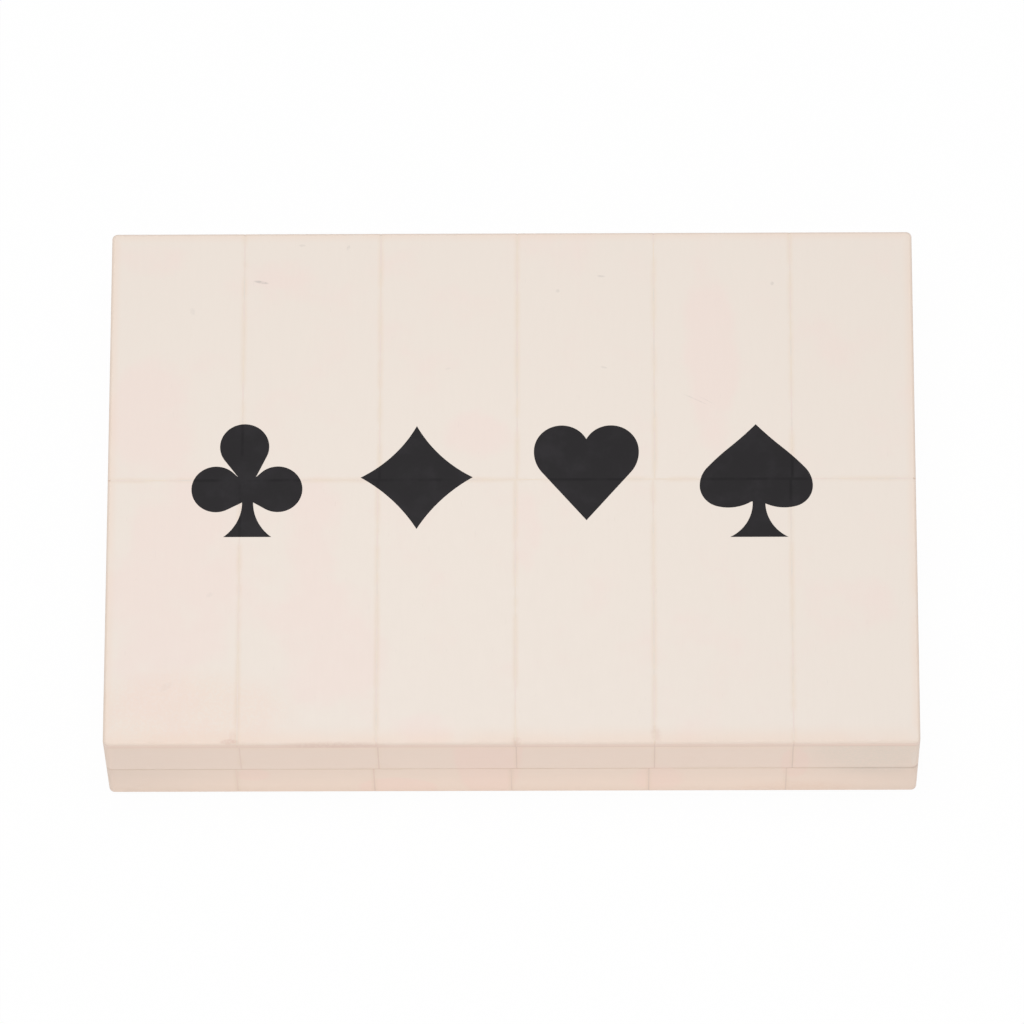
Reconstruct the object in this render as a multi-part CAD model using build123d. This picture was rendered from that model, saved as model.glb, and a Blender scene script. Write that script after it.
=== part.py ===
from build123d import *
import math
import os

# A flat card and dice box: a wooden carcass clad in bone tiles, with a hinged lid.
# Millimetres. X is the width, -Y the front, +Z up, and the origin is under the middle
# of the base, on the surface that the box stands on.

# Overall sizes of the closed box
BOX_WIDTH = 190.0
BOX_DEPTH = 130.0
BASE_HEIGHT = 14.9
LID_HEIGHT = 16.1
SEAM_GAP = 0.2

# Wooden carcass
WALL_THICKNESS = 6.0
FLOOR_THICKNESS = 4.0
LID_PANEL_THICKNESS = 4.0
DIVIDER_THICKNESS = 4.0
DIVIDER_DROP = 1.5
DIVIDER_EDGE_RADIUS = 1.0
DADO_DEPTH = 2.0
DADO_FIT = 0.05
CARD_WELL_WIDTH = 66.0

# Bone skin
TILE_THICKNESS = 1.6
JOINT_WIDTH = 0.3
CORNER_RADIUS = 1.3
TOP_CHAMFER = 0.7
BOTTOM_CHAMFER = 0.25
RIM_CHAMFER = 0.25

# Tile layout: each face starts with its first tile, and its last is cut to fit
COLUMN_COUNT = 6
TOP_PITCH = 32.35
TOP_BACK_FIRST = 31.6
TOP_FRONT_FIRST = 31.2
ROW_JOINT_Y = 1.5
FRONT_PITCH = 32.2
LID_FRONT_FIRST = 31.7
BASE_FRONT_FIRST = 30.4
SIDE_COUNT = 4
SIDE_PITCH = 32.2
SIDE_FIRST = 29.6

# Felt
LINING_THICKNESS = 1.0
LINING_FIT = 0.1
PAD_THICKNESS = 1.5
PAD_INSET = 3.0
PAD_CORNER = 4.0

# Suit inlays, in one row along the lid
INLAY_DEPTH = 0.8
SUIT_ROW_START = -62.2
SUIT_SPACING = 39.9

# Club: three round lobes drawn in to a waist and to the top of a flared stem
CLUB_LOBE_RADIUS = 5.8
CLUB_TOP_LOBE = (-0.65, 10.0)
CLUB_SIDE_LOBE = (7.25, -0.8)
CLUB_WAIST = (2.1, 2.3)
CLUB_STEM_SHIFT = 0.2
CLUB_STEM_HALF = 1.3
CLUB_STEM_TOP = -4.15
CLUB_FOOT_HALF = 5.65
CLUB_FOOT_Y = -12.9

# Diamond: four hollow sides, the upper two a little deeper
DIAMOND_HALF_WIDTH = 13.2
DIAMOND_HALF_HEIGHT = 13.1
DIAMOND_CENTRE_Y = 2.1
DIAMOND_UPPER_HOLLOW = 1.4
DIAMOND_LOWER_HOLLOW = 1.15

# Heart: right half from the tip round to the notch
HEART_TIP = (0.0, -8.9)
HEART_FLANK = (10.4, 3.2)
HEART_SHOULDER = (12.3, 9.45)
HEART_NOTCH = (0.0, 11.75)

# Spade: right half from the tip round to the stem
SPADE_TIP = (0.0, 15.4)
SPADE_NECK = (6.3, 9.45)
SPADE_FLANK = (11.55, 4.35)
SPADE_WIDEST = (13.3, -0.2)
SPADE_UNDER = (9.3, -5.45)
SPADE_NOTCH = (1.2, -4.3)
SPADE_STEM_SHIFT = 0.6
SPADE_STEM_HALF = 1.5
SPADE_STEM_TOP = -4.6
SPADE_FOOT_HALF = 6.85
SPADE_FOOT_Y = -13.25

# Brass butt hinges
HINGE_END_DISTANCE = 40.0
LEAF_WIDTH = 25.0
LEAF_DEPTH = 6.0
LEAF_THICKNESS = 0.9
LEAF_FIT = 0.05
BARREL_RADIUS = 1.5
BARREL_CLEARANCE = 0.3
KNUCKLE_COUNT = 3
KNUCKLE_GAP = 0.2
PIN_RADIUS = 0.75
PIN_FIXED_FIT = 0.02
PIN_RUNNING_FIT = 0.05
PIN_OVERHANG = 0.3

# Countersunk hinge screws
SCREW_SPACING = 16.0
SCREW_INSET = 3.4
SCREW_HEAD_RADIUS = 1.5
SCREW_SHANK_RADIUS = 0.8
SCREW_SHANK_SIDES = 8
SCREW_LENGTH = 6.5
SCREW_FIT = 0.03

# How far a cutter runs past the face that it opens
OVERCUT = 1.0

# Levels and spans that follow from the sizes above
BASE_BOTTOM = PAD_THICKNESS
BASE_TOP = BASE_BOTTOM + BASE_HEIGHT
SEAM_Z = BASE_TOP + SEAM_GAP / 2
LID_BOTTOM = BASE_TOP + SEAM_GAP
LID_TOP = LID_BOTTOM + LID_HEIGHT
TILE_UNDERSIDE = LID_TOP - TILE_THICKNESS
PANEL_UNDERSIDE = TILE_UNDERSIDE - LID_PANEL_THICKNESS
FLOOR_TOP = BASE_BOTTOM + FLOOR_THICKNESS
CORE_WIDTH = BOX_WIDTH - 2 * TILE_THICKNESS
CORE_DEPTH = BOX_DEPTH - 2 * TILE_THICKNESS
INNER_WIDTH = CORE_WIDTH - 2 * WALL_THICKNESS
INNER_DEPTH = CORE_DEPTH - 2 * WALL_THICKNESS
DICE_WELL_WIDTH = INNER_WIDTH - 2 * CARD_WELL_WIDTH - 2 * DIVIDER_THICKNESS
DIVIDER_X = (DICE_WELL_WIDTH + DIVIDER_THICKNESS) / 2
CARD_WELL_X = (INNER_WIDTH - CARD_WELL_WIDTH) / 2
BACK_Y = BOX_DEPTH / 2
HINGE_Y = BACK_Y + BARREL_CLEARANCE + BARREL_RADIUS
HINGE_X = BOX_WIDTH / 2 - HINGE_END_DISTANCE
HINGE_PLACES = {"left_hinge": -HINGE_X, "right_hinge": HINGE_X}
SCREW_XS = (-SCREW_SPACING / 2, SCREW_SPACING / 2)
SCREW_Y = BACK_Y - SCREW_INSET


def block(x_range, y_range, z_range):
    """Plain box between two corners."""
    lows = [low for low, _ in (x_range, y_range, z_range)]
    sizes = [high - low for low, high in (x_range, y_range, z_range)]
    return Pos(*lows) * Box(*sizes, align=(Align.MIN, Align.MIN, Align.MIN))


def centred(length):
    """Range of that length about zero."""
    return (-length / 2, length / 2)


def envelope(low, high, lower_chamfer, upper_chamfer):
    """Outer form of the lid or the base: rounded corners, eased upper and lower edges."""
    form = Pos(0, 0, low) * extrude(RectangleRounded(BOX_WIDTH, BOX_DEPTH, CORNER_RADIUS), high - low)
    form = chamfer(form.faces().sort_by(Axis.Z)[-1].edges(), upper_chamfer)
    return chamfer(form.faces().sort_by(Axis.Z)[0].edges(), lower_chamfer)


def tile_spans(length, first, pitch, count):
    """Each tile's low and high edge along a face, about the middle of that face."""
    joints = [first + pitch * index for index in range(count - 1)]
    lows = [0.0] + [joint + JOINT_WIDTH / 2 for joint in joints]
    highs = [joint - JOINT_WIDTH / 2 for joint in joints] + [length]
    return [(low - length / 2, high - length / 2) for low, high in zip(lows, highs)]


def front_cells(first, z_range, side):
    """Spaces of the tiles along the front (side -1) or the back (side +1)."""
    y_range = sorted((side * BACK_Y, side * (BACK_Y - TILE_THICKNESS)))
    return [block(span, y_range, z_range) for span in tile_spans(BOX_WIDTH, first, FRONT_PITCH, COLUMN_COUNT)]


def side_cells(z_range, side):
    """Spaces of the tiles along the left (side -1) or the right (side +1) face."""
    length = BOX_DEPTH - 2 * (TILE_THICKNESS + JOINT_WIDTH)
    x_range = sorted((side * BOX_WIDTH / 2, side * (BOX_WIDTH / 2 - TILE_THICKNESS)))
    return [block(x_range, span, z_range) for span in tile_spans(length, SIDE_FIRST, SIDE_PITCH, SIDE_COUNT)]


def top_cells():
    """Spaces of the lid's top tiles, by node name."""
    rows = {
        "back": (TOP_BACK_FIRST, (ROW_JOINT_Y + JOINT_WIDTH / 2, BACK_Y)),
        "front": (TOP_FRONT_FIRST, (-BACK_Y, ROW_JOINT_Y - JOINT_WIDTH / 2)),
    }
    cells = {}
    for row, (first, y_range) in rows.items():
        for column, span in enumerate(tile_spans(BOX_WIDTH, first, TOP_PITCH, COLUMN_COUNT), start=1):
            cells[f"top_tile_{row}_{column}"] = block(span, y_range, (TILE_UNDERSIDE, LID_TOP))
    return cells


def face_cells(front_first, z_range):
    """Spaces of the tiles round the four faces of the lid or the base."""
    return {
        "front": front_cells(front_first, z_range, -1),
        "back": front_cells(front_first, z_range, 1),
        "left": side_cells(z_range, -1),
        "right": side_cells(z_range, 1),
    }


def hinge_mortises(rim_z, into):
    """Recesses for the leaves, cut from a rim down (into -1) or up (into +1)."""
    z_range = sorted((rim_z - into * OVERCUT, rim_z + into * LEAF_THICKNESS))
    y_range = (BACK_Y - LEAF_DEPTH - LEAF_FIT, BACK_Y + OVERCUT)
    half = LEAF_WIDTH / 2 + LEAF_FIT
    return [block((x - half, x + half), y_range, z_range) for x in HINGE_PLACES.values()]


def screw_form(clearance):
    """Countersunk screw, or the hole for one, its head as deep as the leaf and its face at z = 0."""
    shank_radius = SCREW_SHANK_RADIUS + clearance
    head = Cone(shank_radius, SCREW_HEAD_RADIUS + clearance, LEAF_THICKNESS)
    shank = extrude(RegularPolygon(shank_radius, SCREW_SHANK_SIDES), -SCREW_LENGTH - clearance)
    return Pos(0, 0, -LEAF_THICKNESS / 2) * head + shank


def at_screws(form, rim_z, into):
    """Copies of a screw form at every screw of a rim, pointing into the wood."""
    turn = Rot(0, 0, 0) if into < 0 else Rot(180, 0, 0)
    return [Pos(x + dx, SCREW_Y, rim_z) * turn * form for x in HINGE_PLACES.values() for dx in SCREW_XS]


def mitred_rail(length, height):
    """Rail along X with its outer face on y = 0 and both ends mitred."""
    outline = Polyline(
        (-length / 2, 0),
        (length / 2, 0),
        (length / 2 - WALL_THICKNESS, WALL_THICKNESS),
        (WALL_THICKNESS - length / 2, WALL_THICKNESS),
        close=True,
    )
    return extrude(make_face(outline), height)


def rails(low, high):
    """The four rails of the lid or the base, by side."""
    long_rail = mitred_rail(CORE_WIDTH, high - low)
    short_rail = mitred_rail(CORE_DEPTH, high - low)
    return {
        "front": Pos(0, -CORE_DEPTH / 2, low) * long_rail,
        "back": Pos(0, CORE_DEPTH / 2, low) * Rot(0, 0, 180) * long_rail,
        "left": Pos(-CORE_WIDTH / 2, 0, low) * Rot(0, 0, -90) * short_rail,
        "right": Pos(CORE_WIDTH / 2, 0, low) * Rot(0, 0, 90) * short_rail,
    }


def divider(x):
    """Partition between two wells, housed in the front and back rails."""
    top = BASE_TOP - DIVIDER_DROP
    length = INNER_DEPTH + 2 * (DADO_DEPTH - DADO_FIT)
    form = block((x - DIVIDER_THICKNESS / 2, x + DIVIDER_THICKNESS / 2), centred(length), (FLOOR_TOP, top))
    long_top_edges = form.edges().filter_by(Axis.Y).group_by(Axis.Z)[-1]
    return fillet(long_top_edges, DIVIDER_EDGE_RADIUS)


def dado(x):
    """Grooves in the front and back rails for one divider."""
    half = DIVIDER_THICKNESS / 2 + DADO_FIT
    top = BASE_TOP - DIVIDER_DROP
    return block((x - half, x + half), centred(INNER_DEPTH + 2 * DADO_DEPTH), (FLOOR_TOP, top))


def flared_stem(half, top, foot_half, foot_y, reach):
    """Stem of a club or a spade: straight at its neck, then flaring to its foot."""
    drop = top - foot_y
    flare = foot_half - half
    radius = (flare**2 + drop**2) / (2 * flare)
    sweep = math.asin(drop / radius) / 2
    middle = (half + radius * (1 - math.cos(sweep)), top - radius * math.sin(sweep))
    right = ThreePointArc((half, top), middle, (foot_half, foot_y))
    foot = Line((foot_half, foot_y), (0, foot_y))
    spine = Line((0, foot_y), (0, top + reach))
    crown = Polyline((0, top + reach), (half, top + reach), (half, top))
    half_face = make_face(Curve() + [right, foot, spine, crown])
    return half_face + mirror(half_face, Plane.YZ)


def touching(centre, point, side):
    """Where a line from a point touches the club's lobe about that centre, to its left (-1) or right (+1)."""
    dx = point[0] - centre[0]
    dy = point[1] - centre[1]
    angle = math.atan2(dy, dx) + side * math.acos(CLUB_LOBE_RADIUS / math.hypot(dx, dy))
    return (centre[0] + CLUB_LOBE_RADIUS * math.cos(angle), centre[1] + CLUB_LOBE_RADIUS * math.sin(angle))


def club_flank(side):
    """Corners of the club's core on its left (-1) or right (+1), from the top lobe down to the stem."""
    lobe = (side * CLUB_SIDE_LOBE[0], CLUB_SIDE_LOBE[1])
    waist = (side * CLUB_WAIST[0], CLUB_WAIST[1])
    stem = (CLUB_STEM_SHIFT + side * CLUB_STEM_HALF, CLUB_STEM_TOP)
    return [touching(CLUB_TOP_LOBE, waist, side), waist, touching(lobe, waist, -side), touching(lobe, stem, side), stem]


def club():
    """Outline of the club."""
    side_x, side_y = CLUB_SIDE_LOBE
    centres = (CLUB_TOP_LOBE, (-side_x, side_y), (side_x, side_y))
    core = make_face(Polyline(*club_flank(-1), *reversed(club_flank(1)), close=True))
    stem = flared_stem(CLUB_STEM_HALF, CLUB_STEM_TOP, CLUB_FOOT_HALF, CLUB_FOOT_Y, -CLUB_STEM_TOP)
    return core + [Pos(x, y) * Circle(CLUB_LOBE_RADIUS) for x, y in centres] + Pos(CLUB_STEM_SHIFT, 0) * stem


def diamond():
    """Outline of the diamond, with four sides that curve inwards."""
    tips = [(0, DIAMOND_HALF_HEIGHT), (DIAMOND_HALF_WIDTH, 0), (0, -DIAMOND_HALF_HEIGHT), (-DIAMOND_HALF_WIDTH, 0)]
    hollows = [DIAMOND_UPPER_HOLLOW, DIAMOND_LOWER_HOLLOW, DIAMOND_LOWER_HOLLOW, DIAMOND_UPPER_HOLLOW]
    sides = []
    for start, end, hollow in zip(tips, tips[1:] + tips[:1], hollows):
        sides.append(SagittaArc(start, end, -hollow))
    return Pos(0, DIAMOND_CENTRE_Y) * make_face(Curve() + sides)


def heart():
    """Outline of the heart."""
    flank = Line(HEART_TIP, HEART_FLANK)
    shoulder = TangentArc(HEART_FLANK, HEART_SHOULDER, tangent=flank % 1)
    lobe = TangentArc(HEART_SHOULDER, HEART_NOTCH, tangent=shoulder % 1)
    spine = Line(HEART_NOTCH, HEART_TIP)
    half_face = make_face(Curve() + [flank, shoulder, lobe, spine])
    return half_face + mirror(half_face, Plane.YZ)


def spade():
    """Outline of the spade."""
    flank = TangentArc(SPADE_WIDEST, SPADE_FLANK, tangent=(0, 1))
    neck = TangentArc(SPADE_FLANK, SPADE_NECK, tangent=flank % 1)
    point = TangentArc(SPADE_NECK, SPADE_TIP, tangent=neck % 1)
    under = TangentArc(SPADE_WIDEST, SPADE_UNDER, tangent=(0, -1))
    inner = TangentArc(SPADE_UNDER, SPADE_NOTCH, tangent=under % 1)
    spine = Polyline(SPADE_TIP, (0, SPADE_NOTCH[1]), SPADE_NOTCH)
    half_face = make_face(Curve() + [flank, neck, point, under, inner, spine])
    stem = flared_stem(SPADE_STEM_HALF, SPADE_STEM_TOP, SPADE_FOOT_HALF, SPADE_FOOT_Y, -SPADE_STEM_TOP)
    return half_face + mirror(half_face, Plane.YZ) + Pos(SPADE_STEM_SHIFT, 0) * stem


def inlays():
    """The four suits, flush with the lid's top, by node name."""
    suits = {"club_inlay": club(), "diamond_inlay": diamond(), "heart_inlay": heart(), "spade_inlay": spade()}
    placed = {}
    for index, (name, outline) in enumerate(suits.items()):
        place = Pos(SUIT_ROW_START + SUIT_SPACING * index, 0, LID_TOP - INLAY_DEPTH)
        placed[name] = place * extrude(outline, INLAY_DEPTH)
    return placed


def fitted(form, cutters):
    """A form with every cutter that reaches it taken away."""
    for cutter in cutters:
        form = form - cutter
    return form


def lid_skin():
    """Bone tiles, joint filler and suit inlays of the lid, by node name."""
    skin = envelope(LID_BOTTOM, LID_TOP, RIM_CHAMFER, TOP_CHAMFER)
    suits = inlays()
    mortises = hinge_mortises(LID_BOTTOM, 1)
    top = top_cells()
    faces = face_cells(LID_FRONT_FIRST, (LID_BOTTOM, TILE_UNDERSIDE - JOINT_WIDTH))
    core = block(centred(CORE_WIDTH), centred(CORE_DEPTH), (LID_BOTTOM, TILE_UNDERSIDE))
    nodes = {name: fitted(skin & cell, suits.values()) for name, cell in top.items()}
    for side, cells in faces.items():
        nodes[f"lid_{side}_tiles"] = group([fitted(skin & cell, mortises) for cell in cells])
    tile_spaces = list(top.values()) + [cell for cells in faces.values() for cell in cells]
    nodes["lid_joint_filler"] = fitted(skin, [core] + tile_spaces + list(suits.values()) + mortises)
    return nodes | suits


def base_skin():
    """Bone tiles and joint filler of the base, by node name."""
    skin = envelope(BASE_BOTTOM, BASE_TOP, BOTTOM_CHAMFER, RIM_CHAMFER)
    mortises = hinge_mortises(BASE_TOP, -1)
    faces = face_cells(BASE_FRONT_FIRST, (BASE_BOTTOM, BASE_TOP))
    core = block(centred(CORE_WIDTH), centred(CORE_DEPTH), (BASE_BOTTOM, BASE_TOP))
    nodes = {}
    for side, cells in faces.items():
        nodes[f"base_{side}_tiles"] = group([fitted(skin & cell, mortises) for cell in cells])
    tile_spaces = [cell for cells in faces.values() for cell in cells]
    nodes["base_joint_filler"] = group(fitted(skin, [core] + tile_spaces + mortises).solids())
    return nodes


def lid_carcass():
    """Wooden panel and rails of the lid, by node name."""
    cutters = hinge_mortises(LID_BOTTOM, 1) + at_screws(screw_form(SCREW_FIT), LID_BOTTOM, 1)
    nodes = {"lid_panel": block(centred(CORE_WIDTH), centred(CORE_DEPTH), (PANEL_UNDERSIDE, TILE_UNDERSIDE))}
    for side, rail in rails(LID_BOTTOM, PANEL_UNDERSIDE).items():
        nodes[f"lid_{side}_rail"] = fitted(rail, cutters) if side == "back" else rail
    return nodes


def base_carcass():
    """Wooden floor, rails and dividers of the base, by node name."""
    hinge_cuts = hinge_mortises(BASE_TOP, -1) + at_screws(screw_form(SCREW_FIT), BASE_TOP, -1)
    dados = [dado(-DIVIDER_X), dado(DIVIDER_X)]
    cutters = {"front": dados, "back": dados + hinge_cuts, "left": [], "right": []}
    nodes = {"base_floor_panel": block(centred(CORE_WIDTH), centred(CORE_DEPTH), (BASE_BOTTOM, FLOOR_TOP))}
    for side, rail in rails(FLOOR_TOP, BASE_TOP).items():
        nodes[f"base_{side}_rail"] = fitted(rail, cutters[side])
    nodes["left_divider"] = divider(-DIVIDER_X)
    nodes["right_divider"] = divider(DIVIDER_X)
    return nodes


def lining(x, width, z_range):
    """Felt sheet that lines a floor between two sides and the front and back rails."""
    half = width / 2 - LINING_FIT
    return block((x - half, x + half), centred(INNER_DEPTH - 2 * LINING_FIT), z_range)


def felts():
    """Felt linings and the pad under the base, by node name."""
    well_z = (FLOOR_TOP, FLOOR_TOP + LINING_THICKNESS)
    pad = RectangleRounded(BOX_WIDTH - 2 * PAD_INSET, BOX_DEPTH - 2 * PAD_INSET, PAD_CORNER)
    return {
        "left_card_lining": lining(-CARD_WELL_X, CARD_WELL_WIDTH, well_z),
        "dice_lining": lining(0.0, DICE_WELL_WIDTH, well_z),
        "right_card_lining": lining(CARD_WELL_X, CARD_WELL_WIDTH, well_z),
        "lid_lining": lining(0.0, INNER_WIDTH, (PANEL_UNDERSIDE - LINING_THICKNESS, PANEL_UNDERSIDE)),
        "base_felt_pad": extrude(pad, PAD_THICKNESS),
    }


def knuckle_spans():
    """Low and high end of each knuckle along the barrel."""
    length = (LEAF_WIDTH - KNUCKLE_GAP * (KNUCKLE_COUNT - 1)) / KNUCKLE_COUNT
    starts = [-LEAF_WIDTH / 2 + index * (length + KNUCKLE_GAP) for index in range(KNUCKLE_COUNT)]
    return [(start, start + length) for start in starts]


def leaf(x, rim_z, into, own_knuckles, pin_fit):
    """Hinge leaf let into a rim, with its own knuckles round the pin."""
    z_range = sorted((rim_z, rim_z + into * LEAF_THICKNESS))
    plate = block(centred(LEAF_WIDTH), (BACK_Y - LEAF_DEPTH, BACK_Y), z_range)
    spans = knuckle_spans()
    along_x = Rot(0, 90, 0)
    for index in own_knuckles:
        low, high = spans[index]
        plate = plate + block((low, high), (BACK_Y, HINGE_Y), z_range)
        barrel = Cylinder(BARREL_RADIUS, high - low)
        plate = plate + Pos((low + high) / 2, HINGE_Y, SEAM_Z) * along_x * barrel
    bore = Cylinder(PIN_RADIUS + pin_fit, LEAF_WIDTH + 2 * OVERCUT)
    plate = Pos(x, 0, 0) * (plate - Pos(0, HINGE_Y, SEAM_Z) * along_x * bore)
    return fitted(plate, at_screws(screw_form(SCREW_FIT), rim_z, into))


def pin(x):
    """Plain hinge pin, a little longer than the barrel at each end."""
    return Pos(x, HINGE_Y, SEAM_Z) * Rot(0, 90, 0) * Cylinder(PIN_RADIUS, LEAF_WIDTH + 2 * PIN_OVERHANG)


def hinges():
    """Leaves, pins and screws of both hinges, by node name."""
    outer = range(0, KNUCKLE_COUNT, 2)
    inner = range(1, KNUCKLE_COUNT, 2)
    nodes = {}
    for name, x in HINGE_PLACES.items():
        nodes[f"{name}_base_leaf"] = leaf(x, BASE_TOP, -1, outer, PIN_FIXED_FIT)
        nodes[f"{name}_lid_leaf"] = leaf(x, LID_BOTTOM, 1, inner, PIN_RUNNING_FIT)
        nodes[f"{name}_pin"] = pin(x)
    nodes["base_hinge_screws"] = group(at_screws(screw_form(0.0), BASE_TOP, -1))
    nodes["lid_hinge_screws"] = group(at_screws(screw_form(0.0), LID_BOTTOM, 1))
    return nodes


def group(solids):
    """Separate solids kept together as one node."""
    return Compound(children=list(solids))


def main():
    """Builds every node and writes its file."""
    os.makedirs("parts", exist_ok=True)
    nodes = base_carcass() | lid_carcass() | base_skin() | lid_skin() | felts() | hinges()
    for name, form in nodes.items():
        form.label = name
        export_step(form, f"parts/{name}.step")
    print(f"{len(nodes)} nodes, {BOX_WIDTH} x {BOX_DEPTH} x {LID_TOP} mm")


if __name__ == "__main__":
    main()
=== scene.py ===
"""Looks of the flat card and dice box: bone tiles, black suits, waxed wood, felt and brass hinges.

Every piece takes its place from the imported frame. Lengths are in metres, written as millimetres
times MM. Finishes and marks count in millimetres.
"""
import logging
import math
from contextlib import contextmanager
from dataclasses import dataclass, field
from enum import Enum
from functools import cached_property
from typing import Callable, Iterator, Union

import bmesh
import bpy
from mathutils import Matrix, Vector


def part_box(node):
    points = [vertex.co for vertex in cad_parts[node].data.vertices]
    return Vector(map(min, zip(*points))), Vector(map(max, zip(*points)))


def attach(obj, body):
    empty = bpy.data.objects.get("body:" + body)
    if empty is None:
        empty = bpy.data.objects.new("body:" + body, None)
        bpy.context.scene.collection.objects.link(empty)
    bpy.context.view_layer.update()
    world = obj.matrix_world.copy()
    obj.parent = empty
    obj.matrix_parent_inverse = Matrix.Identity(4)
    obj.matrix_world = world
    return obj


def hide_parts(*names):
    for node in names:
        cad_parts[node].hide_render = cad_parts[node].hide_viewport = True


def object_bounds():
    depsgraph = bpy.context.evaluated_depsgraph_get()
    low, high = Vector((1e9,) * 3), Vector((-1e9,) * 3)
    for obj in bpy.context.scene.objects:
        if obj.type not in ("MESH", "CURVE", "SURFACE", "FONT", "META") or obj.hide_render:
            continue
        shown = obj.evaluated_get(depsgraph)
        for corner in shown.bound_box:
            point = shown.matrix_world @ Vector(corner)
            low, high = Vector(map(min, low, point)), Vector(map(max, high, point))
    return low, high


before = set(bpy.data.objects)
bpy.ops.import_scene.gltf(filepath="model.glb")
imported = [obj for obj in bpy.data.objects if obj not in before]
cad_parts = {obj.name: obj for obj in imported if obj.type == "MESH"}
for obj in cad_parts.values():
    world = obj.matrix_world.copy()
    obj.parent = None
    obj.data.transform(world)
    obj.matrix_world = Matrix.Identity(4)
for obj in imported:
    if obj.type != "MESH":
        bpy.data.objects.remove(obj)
CAD_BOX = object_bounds()

MM = 0.001
TOUCH = 0.001 * MM
TOP = CAD_BOX[1].z / MM
# An edge is sharp past this angle, and a face looks a way past this share of it.
SHARP = math.radians(60)
FACING = 0.3
# A mark fades in between these squares of its reach, and one on the front between these Y.
MARK_EDGE = (1.0, 0.1)
FRONT_ONLY = (-40.0, -60.0)
MARK_DEPTH = 0.45
SATIN_IOR = 1.5
SIDES = ("front", "back", "left", "right")

Colour = tuple[float, float, float]
Corners = tuple[Vector, Vector]
Number = Union["Signal", float]
Socket = bpy.types.NodeSocket
Material = bpy.types.Material
Mesh = bmesh.types.BMesh
Edge = bmesh.types.BMEdge
Face = bmesh.types.BMFace

logging.basicConfig(level=logging.INFO, format="%(name)s: %(message)s")
log = logging.getLogger("card_box")


class Half(Enum):
    """The two bodies of the box."""

    BASE = "base"
    LID = "lid"

    @property
    def into(self) -> int:
        """The way along Z from the rim into the half."""
        return 1 if self is Half.LID else -1

    @property
    def skin(self) -> Corners:
        """Lowest and highest corner of the tiled skin."""
        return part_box(f"{self.value}_joint_filler")

    @property
    def levels(self) -> tuple[float, float]:
        """Z of the rim and Z of the outer edge."""
        low, high = (corner.z for corner in self.skin)
        return (low, high) if self is Half.LID else (high, low)


class Grain(Enum):
    """The way that fibres run, as how much a pattern is drawn out along X, Y and Z."""

    ALONG_X = (0.12, 1.0, 1.0)
    ALONG_Y = (1.0, 0.12, 1.0)
    NONE = (1.0, 1.0, 1.0)


class MarkKind(Enum):
    """What left a mark in the bone, and its shade, which for a blush is a share of the bone's own."""

    BLUSH = (1.018, 0.972, 0.982)
    PORE = (0.50, 0.46, 0.43)
    STAIN = (0.58, 0.34, 0.28)
    CHALK = (0.86, 0.84, 0.80)
    GREY = (0.80, 0.67, 0.565)
    WARM = (0.885, 0.67, 0.54)


class Plane(Enum):
    """The face that a mark is on."""

    TOP = "top"
    FRONT = "front"


class Keep(Enum):
    """What a cutter leaves of the piece that it is put to."""

    OUTSIDE = "DIFFERENCE"
    INSIDE = "INTERSECT"


class Part(Enum):
    """The parts of a mesh that a test picks among."""

    EDGE = "EDGE"
    FACE = "FACE"


class Signal:
    """A number that varies over a surface. Operators on it add Math nodes."""

    def __init__(self, painter: "Painter", socket: Socket) -> None:
        """Wraps the socket of a material's node that carries the number."""
        self.painter = painter
        self.socket = socket

    def __add__(self, other: Number) -> "Signal":
        """Sum."""
        return self.painter.maths("ADD", self, other)

    def __sub__(self, other: Number) -> "Signal":
        """Difference."""
        return self.painter.maths("SUBTRACT", self, other)

    def __rsub__(self, other: Number) -> "Signal":
        """Difference, with the number first."""
        return self.painter.maths("SUBTRACT", other, self)

    def __mul__(self, other: Number) -> "Signal":
        """Product."""
        return self.painter.maths("MULTIPLY", self, other)

    __radd__ = __add__
    __rmul__ = __mul__

    def __abs__(self) -> "Signal":
        """Distance from zero."""
        return self.painter.maths("ABSOLUTE", self)

    def lower(self, other: Number) -> "Signal":
        """The lower of two numbers."""
        return self.painter.maths("MINIMUM", self, other)

    def higher(self, other: Number) -> "Signal":
        """The higher of two numbers."""
        return self.painter.maths("MAXIMUM", self, other)

    def fade(self, start: float, end: float) -> "Signal":
        """Soft ramp.

        Args:
            start: Where the ramp is still 0.
            end: Where the ramp has reached 1. It may lie below start.

        Returns:
            A number from 0 to 1.
        """
        ends = {"From Min": start, "From Max": end, "To Min": 0.0, "To Max": 1.0}
        if end < start:
            ends = {"From Min": end, "From Max": start, "To Min": 1.0, "To Max": 0.0}
        settings = {"interpolation_type": "SMOOTHSTEP"}
        ramp = self.painter.node("ShaderNodeMapRange", settings, {"Value": self, **ends})
        return Signal(self.painter, ramp.outputs["Result"])


@dataclass(frozen=True)
class Patches:
    """A random pattern: how wide its patches are, the levels between which they fade in, and its finer layers."""

    size: float
    low: float
    high: float
    detail: float = 2.0


@dataclass(frozen=True)
class Relief:
    """How deep a pattern goes into a surface, and how much of that shows."""

    depth: float
    strength: float


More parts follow.
